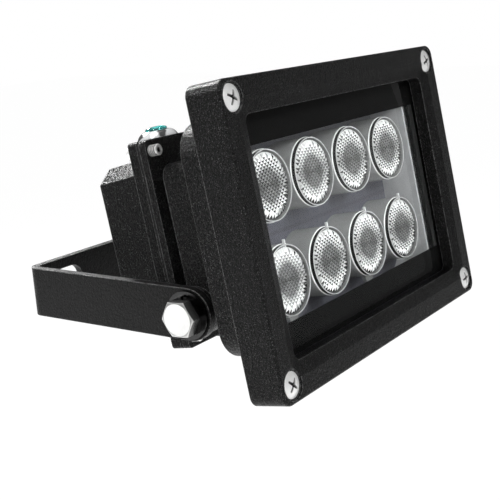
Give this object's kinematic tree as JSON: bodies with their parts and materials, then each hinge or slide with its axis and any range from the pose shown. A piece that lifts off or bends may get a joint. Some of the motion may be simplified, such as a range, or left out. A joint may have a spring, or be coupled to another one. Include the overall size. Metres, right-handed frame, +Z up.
{
  "type": "infrared illuminator",
  "caption": "Black die-cast infrared floodlight: lens array behind a framed glass window, stepped housing, light sensor, tilting on a U-shaped wall bracket.",
  "frame": {"origin": "middle of the bracket cross bar's wall side", "axes": "+Y into the wall, +Z up, +X to the right seen from the front; the lamp looks along -Y"},
  "size_m": [0.141, 0.1274, 0.1064],
  "materials": {
    "bracket_coat": "matt black powder coat on steel strip",
    "housing_coat": "fine textured black powder coat on die-cast aluminium",
    "bezel_coat": "satin black coat on die-cast aluminium",
    "bright_steel": "bright zinc plating",
    "nickel_screw": "nickel plated screw heads",
    "sensor_chrome": "polished chrome plating",
    "window_glass": "clear flat glass",
    "sensor_glass": "teal tinted lens",
    "mask_print": "matt black printed film",
    "black_rubber": "soft black rubber",
    "lens_plastic": "clear moulded lens, faceted face",
    "holder_plastic": "pale grey moulded cup",
    "tray_plastic": "light grey moulded tray",
    "board_mask": "dark solder mask on board",
    "heat_pad": "soft heat pad",
    "emitter": "emitter package with clear dome",
    "component": "moulded electronic parts",
    "wire": "insulated wire",
    "gland_nylon": "black nylon",
    "cell": "light cell in its can"
  },
  "bodies": {
    "bracket": {"u_bracket": "bracket_coat"},
    "lamp": {"bezel_frame": "bezel_coat", "bezel_screws": "nickel_screw", "board_screws": "bright_steel", "cover_screws": "nickel_screw", "cover_seal": "black_rubber", "driver_board": "board_mask", "driver_capacitors": "component", "driver_coil": "component", "driver_leads": "wire", "driver_screws": "bright_steel", "flat_washer_left": "bright_steel", "flat_washer_right": "bright_steel", "gland_body": "gland_nylon", "gland_cap": "gland_nylon", "gland_nut": "gland_nylon", "gland_rubber": "black_rubber", "glass_seal": "black_rubber", "heat_pad": "heat_pad", "lead_grommet": "black_rubber", "led_board": "board_mask", "led_emitters": "emitter", "lens_1": "lens_plastic", "lens_2": "lens_plastic", "lens_3": "lens_plastic", "lens_4": "lens_plastic", "lens_5": "lens_plastic", "lens_6": "lens_plastic", "lens_7": "lens_plastic", "lens_8": "lens_plastic", "lens_holder_1": "holder_plastic", "lens_holder_2": "holder_plastic", "lens_holder_3": "holder_plastic", "lens_holder_4": "holder_plastic", "lens_holder_5": "holder_plastic", "lens_holder_6": "holder_plastic", "lens_holder_7": "holder_plastic", "lens_holder_8": "holder_plastic", "light_tray": "tray_plastic", "lock_washer_left": "bright_steel", "lock_washer_right": "bright_steel", "main_housing": "housing_coat", "pivot_bolt_left": "bright_steel", "pivot_bolt_right": "bright_steel", "rear_cover": "housing_coat", "sensor_cell": "cell", "sensor_housing": "sensor_chrome", "sensor_lens": "sensor_glass", "sensor_nut": "bright_steel", "sensor_washer": "black_rubber", "window_glass": "window_glass", "window_mask": "mask_print"}
  },
  "joints": [
    {"name": "lamp_tilt", "type": "hinge", "parent": "bracket", "child": "lamp", "pos_m": [0, -0.078, 0], "axis": [1, 0, 0], "range_deg": [-80, 99]}
  ]
}
